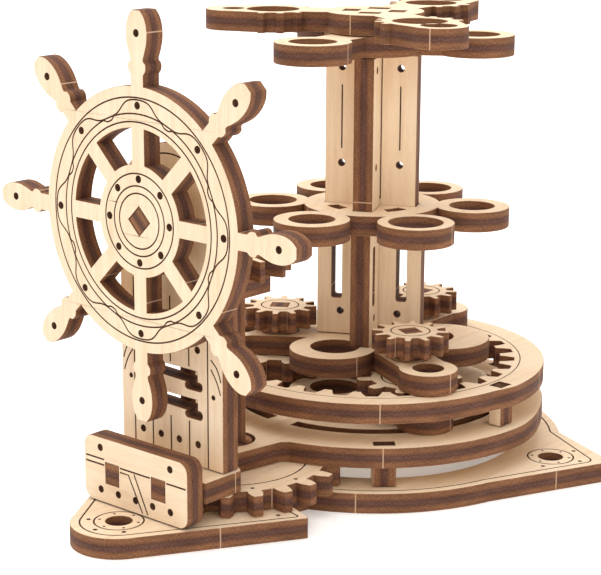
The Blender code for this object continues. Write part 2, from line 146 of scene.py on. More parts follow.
def circle(radius, centre=(0.0, 0.0), steps=64):
    return [polar(radius, 360.0 * i / steps, centre) for i in range(steps)]


def turned(points, degrees, centre=(0.0, 0.0)):
    cos = math.cos(math.radians(degrees))
    sin = math.sin(math.radians(degrees))
    return [(centre[0] + x * cos - y * sin, centre[1] + x * sin + y * cos) for x, y in points]


def rectangle(low, high):
    return [low, (high[0], low[1]), high, (low[0], high[1])]


def square_hole(side, degrees=0.0, centre=(0.0, 0.0)):
    half = side / 2
    return turned(rectangle((-half, -half), (half, half)), degrees, centre)


def mirrored(points):
    return points + [(x, -y) for x, y in reversed(points) if abs(y) > 1e-6]


def rounded(points, radii, steps=8):
    """The outline with each corner of a given radius turned into an arc."""
    result = []
    count = len(points)
    for index, corner in enumerate(points):
        radius = radii[index] if isinstance(radii, (list, tuple)) else radii
        if radius <= 0:
            result.append(corner)
            continue
        here = Vector(corner)
        before = (Vector(points[index - 1]) - here).normalized()
        after = (Vector(points[(index + 1) % count]) - here).normalized()
        half = math.acos(max(-1.0, min(1.0, before.dot(after)))) / 2
        centre = here + (before + after).normalized() * radius / math.sin(half)
        start = here + before * radius / math.tan(half) - centre
        end = here + after * radius / math.tan(half) - centre
        sweep = start.angle_signed(end)
        for step in range(steps + 1):
            spoke = Matrix.Rotation(-sweep * step / steps, 2) @ start
            result.append(tuple(centre + spoke))
    return result


def gear_outline(teeth, pitch, tip, root, fill, turn=0.0):
    """Involute teeth; fill is a tooth's share of half the pitch, turn points one tooth."""
    base = pitch * math.cos(math.radians(20))

    def involute(radius):
        pressure = math.acos(min(1.0, base / radius))
        return math.tan(pressure) - pressure

    def half_angle(radius):
        return math.pi / (2 * teeth) * fill + involute(pitch) - involute(radius)

    shares = (0.0, 0.3, 0.5, 0.7, 0.85, 1.0)
    points = []
    for tooth in range(teeth):
        middle = math.radians(turn) + 2 * math.pi * tooth / teeth
        flank = [(root + (tip - root) * share, half_angle(root + (tip - root) * share)) for share in shares]
        for radius, angle in flank:
            points.append((radius * math.cos(middle - angle), radius * math.sin(middle - angle)))
        for radius, angle in reversed(flank):
            points.append((radius * math.cos(middle + angle), radius * math.sin(middle + angle)))
    return points


def wedge_outline(teeth, tip, root, shares, turn=0.0):
    """Straight tapering teeth; shares are a tooth's half width at root and tip, as parts of the pitch."""
    step = 360.0 / teeth
    foot = shares[0] * step
    top = shares[1] * step
    points = []
    for tooth in range(teeth):
        middle = turn + tooth * step
        points += [polar(root, middle - foot), polar(tip, middle - top)]
        points += [polar(tip, middle + top), polar(root, middle + foot)]
    return rounded(points, 0.25, 3)


# places

def lying(z):
    return Matrix.Translation((0, 0, z + PLY / 2))


def facing(x):
    turn = Matrix(((0, 0, -1), (-1, 0, 0), (0, 1, 0))).to_4x4()
    return Matrix.Translation((x + PLY / 2, 0, 0)) @ turn


def upright(degrees, offset=0.0):
    along = Vector(polar(1.0, degrees) + (0.0,))
    across = Vector((along.y, -along.x, 0.0))
    turn = Matrix((along, (0, 0, 1), across)).transposed().to_4x4()
    return Matrix.Translation(across * -offset) @ turn


# materials

def new_material(name):
    material = bpy.data.materials.new(name)
    material.use_nodes = True
    tree = material.node_tree
    return material, tree, tree.nodes["Principled BSDF"]


def node(tree, kind, **values):
    made = tree.nodes.new(kind)
    for key, value in values.items():
        setattr(made, key, value)
    return made


def maths(tree, operation, first, second=None):
    made = node(tree, "ShaderNodeMath", operation=operation)
    for slot, value in zip(made.inputs, (first, second)):
        if value is None:
            continue
        if isinstance(value, (int, float)):
            slot.default_value = value
        else:
            tree.links.new(value, slot)
    return made.outputs[0]


def ramp(tree, factor, stops):
    made = node(tree, "ShaderNodeValToRGB")
    band = made.color_ramp
    while len(band.elements) < len(stops):
        band.elements.new(0.5)
    for element, (place, colour) in zip(band.elements, stops):
        element.position = place
        element.color = (*colour, 1.0)
    tree.links.new(factor, made.inputs[0])
    return made.outputs[0]


def blend_colours(tree, kind, share, first, second):
    made = node(tree, "ShaderNodeMix", data_type="RGBA", blend_type=kind)
    for slot, value in ((made.inputs[0], share), (made.inputs[6], first), (made.inputs[7], second)):
        if isinstance(value, (int, float)):
            slot.default_value = value
        elif isinstance(value, tuple):
            slot.default_value = (*value, 1.0)
        else:
            tree.links.new(value, slot)
    return made.outputs[2]


def stretched_noise(tree, vector, scale, detail=4.0, roughness=0.55, distortion=0.0):
    mapping = node(tree, "ShaderNodeMapping")
    mapping.inputs["Scale"].default_value = scale
    tree.links.new(vector, mapping.inputs["Vector"])
    noise = node(tree, "ShaderNodeTexNoise")
    noise.inputs["Scale"].default_value = 1.0
    noise.inputs["Detail"].default_value = detail
    noise.inputs["Roughness"].default_value = roughness
    noise.inputs["Distortion"].default_value = distortion
    tree.links.new(mapping.outputs[0], noise.inputs["Vector"])
    return noise.outputs[0]


def add_bump(tree, shader, height, strength, distance):
    bump = node(tree, "ShaderNodeBump")
    bump.inputs["Strength"].default_value = strength
    bump.inputs["Distance"].default_value = distance
    tree.links.new(height, bump.inputs["Height"])
    tree.links.new(bump.outputs[0], shader.inputs["Normal"])


def pale_veneer():
    """The sanded outer veneer: pale, with faint streaks and pores along the grain."""
    material, tree, shader = new_material("pale_veneer")
    cut = node(tree, "ShaderNodeUVMap", uv_map="cut").outputs[0]
    streaks = stretched_noise(tree, cut, (0.05, 0.75, 1.0), 5.0, 0.6, 0.4)
    pores = stretched_noise(tree, cut, (0.5, 7.0, 1.0), 3.0, 0.7)
    clouds = stretched_noise(tree, cut, (0.06, 0.09, 1.0), 2.0)
    tones = [(0.3, (0.77, 0.585, 0.40)), (0.5, (0.83, 0.655, 0.465)), (0.72, (0.86, 0.70, 0.52))]
    base = ramp(tree, streaks, tones)
    fine = ramp(tree, pores, [(0.33, (0.86, 0.78, 0.68)), (0.47, (1.0, 1.0, 1.0))])
    toned = blend_colours(tree, "MULTIPLY", 0.55, base, fine)
    patch = ramp(tree, clouds, [(0.35, (0.95, 0.90, 0.84)), (0.6, (1.0, 1.0, 1.0))])
    final = blend_colours(tree, "MULTIPLY", 0.6, toned, patch)
    tree.links.new(final, shader.inputs["Base Color"])
    shader.inputs["Roughness"].default_value = 0.62
    shader.inputs["Specular IOR Level"].default_value = 0.25
    add_bump(tree, shader, pores, 0.25, 0.00004)
    return material


def toasted_edge():
    """A laser-cut edge: brown outer plies, a dark core, fine streaks across, and pale bridge marks."""
    material, tree, shader = new_material("toasted_edge")
    cut = node(tree, "ShaderNodeUVMap", uv_map="cut").outputs[0]
    parts = node(tree, "ShaderNodeSeparateXYZ")
    tree.links.new(cut, parts.inputs[0])
    along = parts.outputs[0]
    depth = maths(tree, "ABSOLUTE", parts.outputs[1])
    waver = stretched_noise(tree, cut, (0.35, 0.6, 1.0), 3.0)
    depth = maths(tree, "ADD", depth, maths(tree, "MULTIPLY", maths(tree, "SUBTRACT", waver, 0.5), 0.45))
    share = maths(tree, "DIVIDE", depth, 2.0)
    plies = ramp(tree, share, [
        (0.0, (0.130, 0.064, 0.046)),
        (0.25, (0.115, 0.052, 0.036)),
        (0.38, (0.180, 0.080, 0.041)),
        (0.62, (0.245, 0.115, 0.055)),
        (0.9, (0.215, 0.098, 0.048)),
        (1.0, (0.320, 0.165, 0.088)),
    ])
    streaks = stretched_noise(tree, cut, (6.5, 2.4, 1.0), 4.0, 0.75)
    tones = [(0.34, (0.42, 0.38, 0.38)), (0.5, (0.92, 0.92, 0.92)), (0.66, (1.7, 1.6, 1.45))]
    streak_tone = ramp(tree, streaks, tones)
    toned = blend_colours(tree, "MULTIPLY", 1.0, plies, streak_tone)
    char = stretched_noise(tree, cut, (0.12, 0.4, 1.0), 2.0)
    char_tone = ramp(tree, char, [(0.35, (0.72, 0.68, 0.66)), (0.65, (1.15, 1.12, 1.1))])
    toned = blend_colours(tree, "MULTIPLY", 0.8, toned, char_tone)
    turns = maths(tree, "FRACT", maths(tree, "DIVIDE", maths(tree, "ADD", along, 17.0), 43.0))
    bridge = maths(tree, "LESS_THAN", turns, 0.0055)
    final = blend_colours(tree, "MIX", maths(tree, "MULTIPLY", bridge, 0.7), toned, (0.66, 0.47, 0.30))
    tree.links.new(final, shader.inputs["Base Color"])
    shader.inputs["Roughness"].default_value = 0.7
    shader.inputs["Specular IOR Level"].default_value = 0.2
    add_bump(tree, shader, streaks, 0.5, 0.00012)
    return material


def scorched_line():
    """The floor and walls of a scored line or dot."""
    material, tree, shader = new_material("scorched_line")
    place = node(tree, "ShaderNodeTexCoord").outputs["Object"]
    soot = stretched_noise(tree, place, (900.0, 900.0, 900.0), 3.0)
    tone = ramp(tree, soot, [(0.3, (0.055, 0.025, 0.015)), (0.7, (0.13, 0.062, 0.035))])
    tree.links.new(tone, shader.inputs["Base Color"])
    shader.inputs["Roughness"].default_value = 0.85
    shader.inputs["Specular IOR Level"].default_value = 0.1
    return material


VENEER = pale_veneer()
EDGE = toasted_edge()
SCORCH = scorched_line()


# cutting

def flat_mesh(name, outline, holes, thickness, chamfer=0.0):
    """A flat curve with holes, given its thickness and made a mesh about z = 0, in millimetres."""
    curve = bpy.data.curves.new(name, "CURVE")
    curve.dimensions = "2D"
    curve.fill_mode = "BOTH"
    curve.extrude = thickness / 2
    curve.render_resolution_u = 0
    for loop in [outline, *holes]:
        spline = curve.splines.new("POLY")
        spline.points.add(len(loop) - 1)
        for point, (x, y) in zip(spline.points, loop):
            point.co = (x, y, 0, 1)
        spline.use_cyclic_u = True
    holder = bpy.data.objects.new(name + "_flat", curve)
    bpy.context.scene.collection.objects.link(holder)
    ready = holder.evaluated_get(bpy.context.evaluated_depsgraph_get())
    mesh = bpy.data.meshes.new_from_object(ready)
    bpy.data.objects.remove(holder)
    shape = bmesh.new()
    shape.from_mesh(mesh)
    bmesh.ops.remove_doubles(shape, verts=shape.verts, dist=0.001)
    bmesh.ops.recalc_face_normals(shape, faces=shape.faces)
    if chamfer:
        rims = [edge for edge in shape.edges if edge.calc_face_angle(0) > 1.2 and flat_edge(edge)]
        bevel(shape, rims, chamfer)
    shape.to_mesh(mesh)
    shape.free()
    return mesh


def bevel(shape, edges, width):
    bmesh.ops.bevel(
        shape, geom=edges, offset=width, segments=1, profile=0.5, affect="EDGES", material=-1)


def flat_edge(edge):
    """A rim's edges keep one height; the edges through the board's thickness don't."""
    low, high = edge.verts
    return abs(low.co.z - high.co.z) < 0.01


def lay_grain(mesh, loops, grain):
    """Faces take plane coordinates along the grain; edges take the length round the outline and the depth."""
    lengths = []
    total = []
    points = []
    for loop in loops:
        run = 0.0
        first = len(points)
        for index, point in enumerate(loop):
            points.append(point)
            lengths.append(run)
            run += (Vector(loop[(index + 1) % len(loop)]) - Vector(point)).length
        total += [run] * (len(points) - first)
    tree = kdtree.KDTree(len(points))
    for index, (x, y) in enumerate(points):
        tree.insert((x, y, 0), index)
    tree.balance()
    shape = bmesh.new()
    shape.from_mesh(mesh)
    layer = shape.loops.layers.uv.new("cut")
    cos = math.cos(math.radians(grain))
    sin = math.sin(math.radians(grain))
    half = max(vertex.co.z for vertex in shape.verts)
    for face in shape.faces:
        on_top = all(abs(abs(vertex.co.z) - half) < 0.001 for vertex in face.verts)
        face.material_index = 0 if on_top else 1
        face.smooth = False
        if on_top:
            for corner in face.loops:
                x, y = corner.vert.co.xy
                corner[layer].uv = (x * cos + y * sin, y * cos - x * sin)
            continue
        found = [tree.find((c.vert.co.x, c.vert.co.y, 0))[1] for c in face.loops]
        runs = [lengths[i] for i in found]
        if max(runs) - min(runs) > total[found[0]] / 2:
            runs = [r + total[found[0]] if r < total[found[0]] / 2 else r for r in runs]
        for corner, run in zip(face.loops, runs):
            corner[layer].uv = (run, corner.vert.co.z)
    shape.to_mesh(mesh)
    shape.free()


def ribbon(points, width=SCORE, closed=False):
    """A line of this width as one or two loops: its outline, and the hole in a closed one."""
    left = []
    right = []
    count = len(points)
    for index, point in enumerate(points):
        before = points[index - 1] if closed or index else point
        after = points[(index + 1) % count] if closed or index + 1 < count else point
        along = (Vector(after) - Vector(before)).normalized()
        side = Vector((-along.y, along.x)) * width / 2
        left.append(tuple(Vector(point) + side))
        right.append(tuple(Vector(point) - side))
    if closed:
        return [left, right]
    return [left + right[::-1]]


def score(mesh, lines, depth):
    """Cuts these loops into the board's front or top face."""
    cutter_mesh = flat_mesh("scoring", lines[0], lines[1:], 2 * depth)
    cutter_mesh.transform(Matrix.Translation((0, 0, PLY / 2)))
    cutter_mesh.materials.append(SCORCH)
    target = bpy.data.objects.new("board", mesh)
    cutter = bpy.data.objects.new("scoring", cutter_mesh)
    for made in (target, cutter):
        bpy.context.scene.collection.objects.link(made)
    cut = target.modifiers.new("score", "BOOLEAN")
    cut.object = cutter
    cut.operation = "DIFFERENCE"
    cut.solver = "MANIFOLD"
    cut.material_mode = "TRANSFER"
    ready = target.evaluated_get(bpy.context.evaluated_depsgraph_get())
    result = bpy.data.meshes.new_from_object(ready)
    for made in (target, cutter):
        bpy.data.objects.remove(made)
    return result


def finish(mesh, name, place, body):
    """The piece in its place, riding on its body, in the stead of its CAD node."""
    mesh.name = name + "_cut"
    mesh.transform(Matrix.Scale(MM, 4) @ Matrix.Translation(AXIS) @ place)
    piece = bpy.data.objects.new(name + "_cut", mesh)
    bpy.context.scene.collection.objects.link(piece)
    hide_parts(name)
    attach(piece, body)
    return piece


def board(name, outline, holes, place, body, scores=(), grain=0.0, thickness=PLY):
    """One cut board; scores are (loops, depth) groups, cut into its face one after another."""
    mesh = flat_mesh(name, outline, holes, thickness, CHAMFER)
    lay_grain(mesh, [outline, *holes], grain)
    mesh.materials.append(VENEER)
    mesh.materials.append(EDGE)
    for lines, depth in scores:
        mesh = score(mesh, lines, depth)
    return finish(mesh, name, place, body)


def dots(places, radius=DOT):
    return [circle(radius, place, 20) for place in places]


def stepped_rod(name, steps, place, body):
    """A toasted rod: steps are (kind, half size, start, end) along its length."""
    shape = bmesh.new()
    for kind, size, start, end in steps:
        if kind == "round":
            made = bmesh.ops.create_cone(
                shape, cap_ends=True, segments=40, radius1=size, radius2=size, depth=end - start)
        else:
            made = bmesh.ops.create_cube(shape, size=1.0)
            bmesh.ops.scale(shape, verts=made["verts"], vec=(2 * size, 2 * size, end - start))
        bmesh.ops.translate(shape, verts=made["verts"], vec=(0, 0, (start + end) / 2))
    sharp = [e for e in shape.edges if e.calc_face_angle(0) > 1.0]
    bevel(shape, sharp, ROD_CHAMFER)
    bmesh.ops.recalc_face_normals(shape, faces=shape.faces)
    layer = shape.loops.layers.uv.new("cut")
    for face in shape.faces:
        face.material_index = 1
        for corner in face.loops:
            x, y, z = corner.vert.co
            around = math.atan2(y, x) * 3.0 if abs(face.normal.z) < 0.9 else x
            across = x if abs(face.normal.x) < 0.5 else y
            corner[layer].uv = (z if abs(face.normal.z) < 0.9 else around, across)
    mesh = bpy.data.meshes.new(name)
    shape.to_mesh(mesh)
    shape.free()
    mesh.materials.append(VENEER)
    mesh.materials.append(EDGE)
    return finish(mesh, name, place, body)


# the base and the deck

def base_outline(inset=0.0):
    nose = arc(NOSE, 9.0 - inset, 180, 239, 14)
    ring = arc((0, 0), BASE_RADIUS - inset, 202.5, 255, 30)
    waist = [nose[-1], (-48.0 - inset * 0.4, -25.1 + inset), (-45.4 - inset, -18.0 + inset * 0.6)]
    waist += [(-41.0 - inset * 0.4, -14.6 + inset), ring[0]]
    half = nose[:-1] + rounded(waist, [0, 0.5, 1.6, 1.6, 0]) + ring[1:]
    reach = (CORNER_REACH[0] - 1.2 * inset, CORNER_REACH[1] + 1.6 * inset)
    corner = [polar(BASE_RADIUS - inset, 255), reach, polar(BASE_RADIUS - inset, 308)]
    half += rounded(corner, [0, 2.0, 0], 8)[1:]
    half += arc((0, 0), BASE_RADIUS - inset, 312, 360, 28)
    return mirrored(half)


def base_plate():
    holes = [circle(BASE_HOLE, steps=120), circle(SCREW_HOLE, NOSE, 32)]
    corners = [(CORNER_HOLE[0], side * CORNER_HOLE[1]) for side in (1, -1)]
    holes += [circle(SCREW_HOLE, corner, 32) for corner in corners]
    lines = ribbon(base_outline(1.8), closed=True)
    marks = []
    for spot in [NOSE, *corners]:
        lines += ribbon(circle(4.6, spot, 48), closed=True)
        marks += [circle(0.3, polar(3.7, 60 * i, spot), 10) for i in range(6)]
    marks += dots([(-75.6, 4.7), (-78.3, 0.0), (-75.6, -4.7), (-50.8, -19.9), (-50.8, 19.9)], 0.45)
    marks += dots([polar(6.2, turn, corners[0]) for turn in (200, 285, 345)], 0.45)
    marks += dots([polar(6.2, -turn, corners[1]) for turn in (200, 285, 345)], 0.45)
    board("base_plate", base_outline(), holes, lying(0), "base", scores=[(lines, SCORE_DEPTH), (marks, 0.3)])


def lower_deck():
    ledge_x = SIGN_X + PLY + GAP
    ledge_back = TOWER_X + PLY
    half = [(ledge_x, 0.0), (ledge_x, -4.4), (SIGN_X, -4.4), (SIGN_X, -7.8), (ledge_x, -7.8)]
    half += rounded([(ledge_x, -14.0), (ledge_back, -14.0), (-50.0, -6.6)], [0, 1.0, 0], 8)
    half += [(-37.5, -8.6)]
    half += arc((0, 0), DECK_FRONT, 195, 269, 50)
    half += eased(DECK_FRONT, DECK_SIDE, 270, 299, 20)
    half += arc((0, 0), DECK_SIDE, 300, 360, 40)
    holes = [circle(DECK_BORE, steps=48), circle(4.8, (DRIVE_X, 0), 48)]
    for index in range(6):
        start = -174 + 60 * index
        holes.append(arc((0, 0), 28.6, start, start + 48, 24) + arc((0, 0), 26.0, start + 48, start, 24))
    sockets = [turned(rectangle((33.3, -2.15), (35.8, 2.15)), POST_TURN + 120 * i) for i in range(3)]
    board("lower_deck", mirrored(half)[1:], holes, lying(DECK_Z), "base", scores=[(sockets, 0.35)])


def deck_posts():
    outline = rectangle((32.6, PLY + 0.2), (36.4, DECK_Z - 0.2))
    for index in range(3):
        place = upright(POST_TURN + 120 * index)
        board(f"deck_post_{index + 1}", outline, [], place, "base", thickness=4.6)


def ring_spacers():
    outline = rectangle((32.3, DECK_Z + PLY + 0.2), (35.1, RING_Z - 0.2))
    for index in range(3):
        place = upright(SPACER_TURN + 120 * index)
        board(f"ring_spacer_{index + 1}", outline, [], place, "base")


def ring_gear():
    half = arc((0, 0), RING_FRONT, 180, 261, 56)
    half += eased(RING_FRONT, DECK_SIDE, 262, 273, 12)
    half += arc((0, 0), DECK_SIDE, 274, 360, 56)
    inside = gear_outline(RING_TEETH, RING_PITCH, 30.1, 27.2, 1.16, ARM_TURN)
    lines = ribbon(circle(31.3, steps=120), 0.22, closed=True)
    sockets = [turned(rectangle((31.9, -1.8), (34.9, 1.8)), SPACER_TURN + 120 * i) for i in range(3)]
    scores = [(lines, 0.08), (sockets, 0.3)]
    board("ring_gear", mirrored(half), [inside], lying(RING_Z), "base", scores=scores)


# the carousel

def planets():
    for index in range(3):
        turn = ARM_TURN + 120 * index
        body = f"planet_set_{index + 1}"
        place = Matrix.Translation((*polar(PLANET_AT, turn), 0))
        square = square_hole(3.7, turn)
        planet = gear_outline(PLANET_TEETH, PLANET_PITCH, 10.6, 7.9, 0.84, turn)
        ring = [(ribbon(circle(5.6, steps=48), closed=True), SCORE_DEPTH)]
        board(f"planet_{index + 1}", planet, [square], place @ lying(RING_Z), body, scores=ring)
        small = wedge_outline(12, 7.7, 5.6, (0.27, 0.13), turn)
        ring = [(ribbon(circle(3.9, steps=40), 0.28, closed=True), SCORE_DEPTH)]
        above = place @ lying(PINION_Z)
        board(f"small_gear_{index + 1}", small, [square], above, body, scores=ring)
        steps = [
            ("round", PIN_HALF, LOW_CARRIER_Z, RING_Z - 0.15),
            ("square", PLANET_ROD / 2, RING_Z - 0.2, CARRIER_Z - 0.1),
            ("round", PIN_HALF, CARRIER_Z - 0.15, COLUMN_Z),
            ("square", 3.2, COLUMN_Z - 0.05, PINION_Z - 0.2),
            ("square", PLANET_ROD / 2, PINION_Z - 0.25, PINION_Z + PLY),
        ]
        spin = Matrix.Rotation(math.radians(turn), 4, "Z")
        stepped_rod(f"planet_rod_{index + 1}", steps, place @ spin, body)


def carrier_shape(loop_at, loop, loop_hole):
    """Three arms with a loop at the end and three hooks between them: the outline and the holes."""
    arm_half = 5.0
    lobes = ((15.0, 9.8), (13.2, 8.8), (13.2, 8.8))
    joins = []
    for lobe_at, lobe in lobes:
        side = lobe_at * math.sin(math.radians(60)) - arm_half
        joins.append(lobe_at * math.cos(math.radians(60)) + math.sqrt(lobe ** 2 - side ** 2))
    swing = math.degrees(math.asin(arm_half / loop))
    outline = []
    holes = [square_hole(6.4, ARM_TURN)]
    for index in range(3):
        turn = ARM_TURN + 120 * index
        lobe_at, lobe = lobes[index]
        arm = [(joins[index - 1], -arm_half)]
        arm += arc((loop_at, 0), loop, swing - 180, 180 - swing, 40) + [(joins[index], arm_half)]
        outline += turned(arm, turn)
        centre = Vector(polar(lobe_at, turn + 60))
        start = Vector(turned([(joins[index], arm_half)], turn)[0]) - centre
        end = Vector(turned([(joins[index], -arm_half)], turn + 120)[0]) - centre
        first = math.degrees(math.atan2(start.y, start.x))
        sweep = (math.degrees(math.atan2(end.y, end.x)) - first) % 360
        outline += arc(centre, lobe, first, first + sweep, 40)[1:-1]
        holes.append(circle(loop_hole, polar(loop_at, turn), 36))
        holes.append(circle(PIN_HALF + GAP, polar(PLANET_AT, turn), 32))
        holes.append(circle(5.0, polar(12.4, turn + 60), 48))
    return outline, holes


def carriers():
    outline, holes = carrier_shape(27.2, 5.8, 3.1)
    rims = []
    for index in range(3):
        rims += ribbon(circle(3.9, polar(PLANET_AT, ARM_TURN + 120 * index), 36), 0.28, closed=True)
    board("carrier", outline, holes, lying(CARRIER_Z), "carousel", scores=[(rims, SCORE_DEPTH)])
    outline, holes = carrier_shape(26.4, 5.6, 3.0)
    middle = Matrix.Translation((0, 0, LOW_CARRIER_Z + LOW_CARRIER_PLY / 2))
    board("low_carrier", outline, holes, middle, "carousel", thickness=LOW_CARRIER_PLY)


def column():
    slot = PLY / 2 + 0.2
    middle = 54.0
    top = TOP_TRAY_Z + PLY - 0.2
    shoulder = MID_TRAY_Z - GAP
    low_tray = LOW_TRAY_Z - GAP
    tenon_in = TENON_AT - 1.5
    tenon_out = TENON_AT + 1.5
    for index, letter in enumerate("ab"):
        right = [(LOW_HALF, COLUMN_Z), (LOW_HALF, shoulder), (HIGH_HALF, shoulder), (HIGH_HALF, low_tray)]
        right += [(tenon_out, low_tray), (tenon_out, top), (tenon_in, top), (tenon_in, low_tray)]
        if index == 0:
            right += [(slot, low_tray), (slot, middle)]
        else:
            right = [(slot, middle + GAP), (slot, COLUMN_Z)] + right
        left = [(-x, y) for x, y in reversed(right)]
        holes = []
        lines = []
        for side in (1, -1):
            corners = rectangle((side * 6.8 - 1.1, 32.5), (side * 6.8 + 1.1, 44.8))
            holes.append(rounded(corners, 0.5, 5))
            lines += ribbon([(side * 6.0, 64.0), (side * 6.0, 77.0)], 0.3)
            holes += dots([(side * 6.0, height) for height in (29.8, 61.0, 80.6)])
        outline = right + left
        scores = [(lines, SCORE_DEPTH)]
        place = upright(BOARD_TURN[index])
        board(f"column_{letter}", outline, holes, place, "carousel", scores=scores, grain=90)


def cross_hole(half):
    slim = PLY / 2 + 0.12
    long = half + 0.12
    corner = [(long, -slim), (long, slim), (slim, slim)]
    points = []
    for index in range(4):
        points += turned(corner, BOARD_TURN[0] + 90 * index)
    return points


def tenon_holes():
    low = (TENON_AT - 1.65, -PLY / 2 - 0.15)
    high = (TENON_AT + 1.65, PLY / 2 + 0.15)
    return [turned(rectangle(low, high), BOARD_TURN[0] + 90 * index) for index in range(4)]


def mid_tray():
    hub = 14.0
    reach = (hub ** 2 + RING_RADIUS ** 2 - TRAY_RING ** 2) / (2 * hub * RING_RADIUS)
    spread = math.degrees(math.acos(reach))
    holes = [cross_hole(HIGH_HALF)]
    bores = (5.4, 4.6, 5.1, 4.6, 4.9, 4.6)
    outline = []
    for index in range(6):
        turn = ARM_TURN + 60 * index
        centre = polar(RING_RADIUS, turn)
        start = Vector(polar(hub, turn - spread)) - Vector(centre)
        swing = math.degrees(math.atan2(start.y, start.x)) - turn
        swing = abs((swing + 180) % 360 - 180)
        outline += arc(centre, TRAY_RING, turn - swing, turn + swing, 48)
        outline += arc((0, 0), hub, turn + spread, turn + 60 - spread, 10)[1:-1]
        holes.append(circle(bores[index], centre, 56))
    for index in range(4):
        turn = BOARD_TURN[0] + 45 + 90 * index
        holes.append(arc((0, 0), 9.6, turn - 14, turn + 14, 14) + arc((0, 0), 7.2, turn + 14, turn - 14, 10))
    board("mid_tray", outline, holes, lying(MID_TRAY_Z), "carousel", grain=30)


def low_tray():
    swing = math.degrees(math.asin(TRAY_ARM / TRAY_RING))
    spread = math.degrees(math.asin(TRAY_ARM / TRAY_HUB))
    outline = []
    holes = tenon_holes()
    for index in range(3):
        turn = ARM_TURN + 60 + 120 * index
        centre = polar(RING_RADIUS, turn)
        outline += arc(centre, TRAY_RING, turn - 180 + swing, turn + 180 - swing, 56)
        outline += arc((0, 0), TRAY_HUB, turn + spread, turn + 120 - spread, 20)
        holes.append(circle(4.7, centre, 56))
    board("low_tray", outline, holes, lying(LOW_TRAY_Z), "carousel", grain=60)


def top_tray():
    ring = 7.4
    end = 5.6
    end_at = 28.6
    arm = 4.4
    spread = math.degrees(math.asin(arm / TRAY_HUB))
    small = (3.5, 2.2, 2.2)
    outline = []
    holes = tenon_holes()
    for index in range(3):
        turn = ARM_TURN + 120 * index
        start = 180 - math.degrees(math.asin(arm / ring))
        side = [polar(ring, start, (RING_RADIUS, 0))]
        for knob in (135, 108, 81):
            for radius, shift in ((ring, 7), (ring + 1.3, 4), (ring + 1.3, -4), (ring, -7)):
                side.append(polar(radius, knob + shift, (RING_RADIUS, 0)))
        side += arc((end_at, 0), end, 88, 0, 20)
        arm_shape = [(x, -y) for x, y in side] + list(reversed(side[:-1]))
        outline += turned(arm_shape, turn)
        outline += arc((0, 0), TRAY_HUB, turn + spread, turn + 120 - spread, 20)
        holes.append(circle(5.3, polar(RING_RADIUS, turn), 56))
        holes.append(circle(small[index], polar(end_at, turn), 32))
    board("top_tray", outline, holes, lying(TOP_TRAY_Z), "carousel", grain=15)


def carousel_drive():
    outline = gear_outline(MAIN_TEETH, MAIN_PITCH, MAIN_PITCH + 1.4, MAIN_PITCH - 1.8, 0.86, 180)
    hole = square_hole(6.1, ARM_TURN)
    board("main_gear", outline, [hole], lying(GEAR_Z), "carousel")
    steps = [
        ("square", MAIN_ROD / 2, GEAR_Z, GEAR_Z + PLY + 0.2),
        ("round", DECK_BORE - GAP, GEAR_Z + PLY + 0.15, LOW_CARRIER_Z - 0.1),
        ("square", MAIN_ROD / 2, LOW_CARRIER_Z - 0.15, LOW_CARRIER_Z + LOW_CARRIER_PLY + 0.2),
        ("round", 6.0, LOW_CARRIER_Z + LOW_CARRIER_PLY + 0.15, CARRIER_Z - 0.2),
        ("square", MAIN_ROD / 2, CARRIER_Z - 0.25, CARRIER_Z + PLY),
    ]
    stepped_rod("main_rod", steps, Matrix.Rotation(math.radians(ARM_TURN), 4, "Z"), "carousel")


# the drive and the tower

def drive():
    place = Matrix.Translation((DRIVE_X, 0, 0))
    half_tooth = 180.0 / DRIVE_TEETH
    outline = gear_outline(DRIVE_TEETH, DRIVE_PITCH, DRIVE_PITCH + 1.1, DRIVE_PITCH - 1.9, 0.86, half_tooth)
    hole = square_hole(DRIVE_ROD + 0.2)
    ring = ribbon(circle(14.8, steps=90), closed=True) + ribbon(circle(6.0, steps=48), closed=True)
    marks = dots([polar(16.9, half_tooth + 360.0 * i / 11) for i in range(11)], 0.42)
    scores = [(ring, SCORE_DEPTH), (marks, 0.2)]
    board("drive_gear", outline, [hole], place @ lying(GEAR_Z), "drive", scores=scores)
    crown = wedge_outline(CROWN_TEETH, CROWN_TIP, CROWN_ROOT, (0.2, 0.1), 180 + 180.0 / CROWN_TEETH)
    board("crown_gear", crown, [hole], place @ lying(CROWN_Z), "drive")
    half = DRIVE_ROD / 2
    steps = [
        ("square", half, GEAR_Z, GEAR_Z + PLY + 0.2),
        ("round", 2 * half, GEAR_Z + PLY + 0.2, DECK_Z + PLY - 0.2),
        ("square", half, DECK_Z + PLY - 0.25, CROWN_Z + PLY),
    ]
    stepped_rod("drive_rod", steps, place, "drive")


def rope_line():
    """The outer line of the rim's rope: it leaves the outer ring between the handles."""
    points = []
    for step in range(240):
        degrees = 1.5 * step
        swing = math.cos(math.radians(8 * degrees))
        lift = math.tanh(1.6 * swing) / math.tanh(1.6)
        points.append(polar(20.62 + 1.25 * lift, degrees))
    return points


def core_line():
    """The inner line of the rope, with a short dip between the handles."""
    points = []
    for step in range(360):
        degrees = float(step)
        off = (degrees % 45.0) - 22.5
        dip = 0.62 * math.exp(-(off / 3.4) ** 4)
        points.append(polar(19.35 - dip, degrees))
    return points


